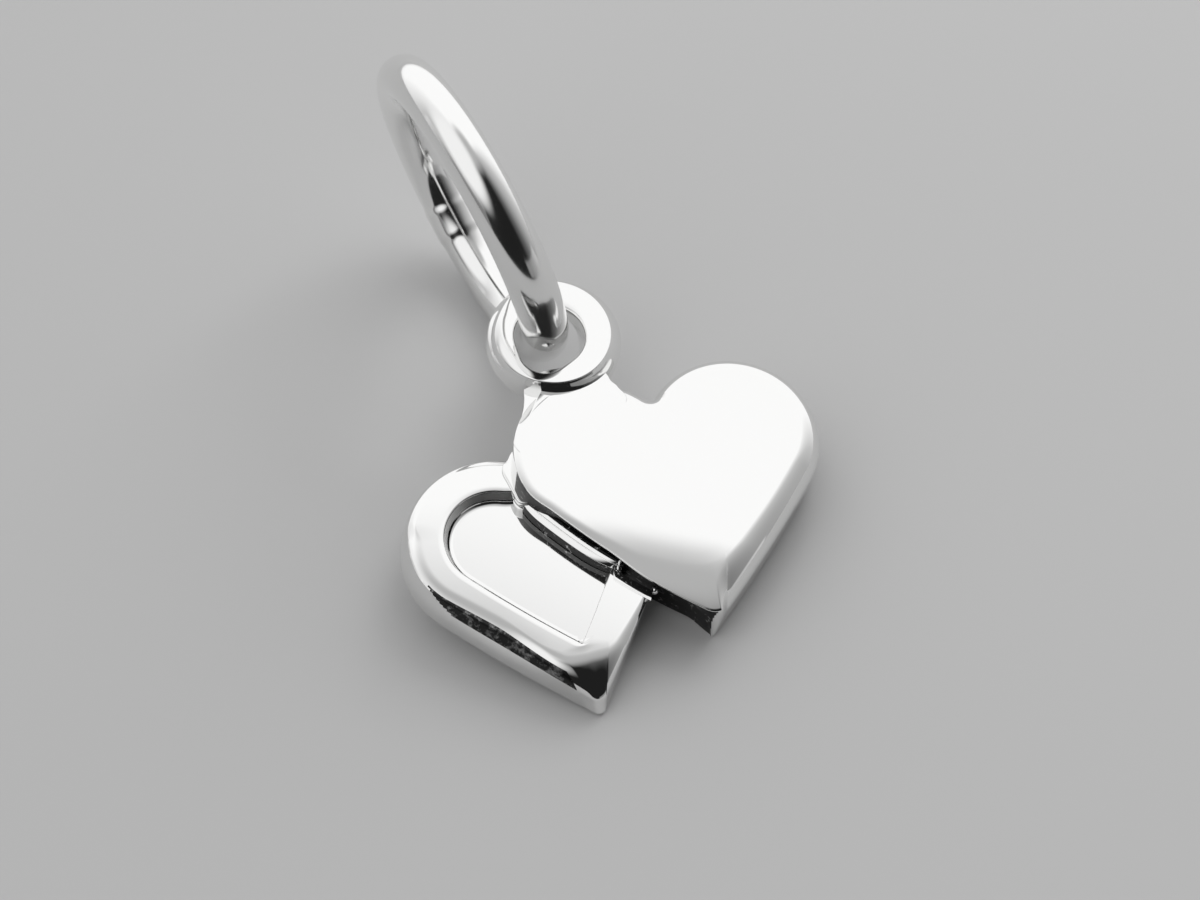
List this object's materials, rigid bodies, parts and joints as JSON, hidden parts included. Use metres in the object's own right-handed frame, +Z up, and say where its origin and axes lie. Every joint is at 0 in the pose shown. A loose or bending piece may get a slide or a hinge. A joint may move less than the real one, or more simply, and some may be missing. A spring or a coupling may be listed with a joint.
{
  "type": "double heart pendant",
  "caption": "Polished silver heart charm: a plain thick heart over a lower heart with a raised rim and a sunk panel, with a round eyelet and a soldered jump ring, lying at rest",
  "frame": {"origin": "the middle of the part's outline seen from above, on the surface that it lies on", "axes": "+Z is up off the surface, +Y runs along the front heart from its tip towards the eyelet, +X is to its right"},
  "size_m": [0.0108, 0.0164, 0.0083],
  "materials": {
    "polished_silver": "mirror polished silver"
  },
  "bodies": {
    "root": {"double_heart": "polished_silver", "jump_ring": "polished_silver"}
  },
  "joints": []
}
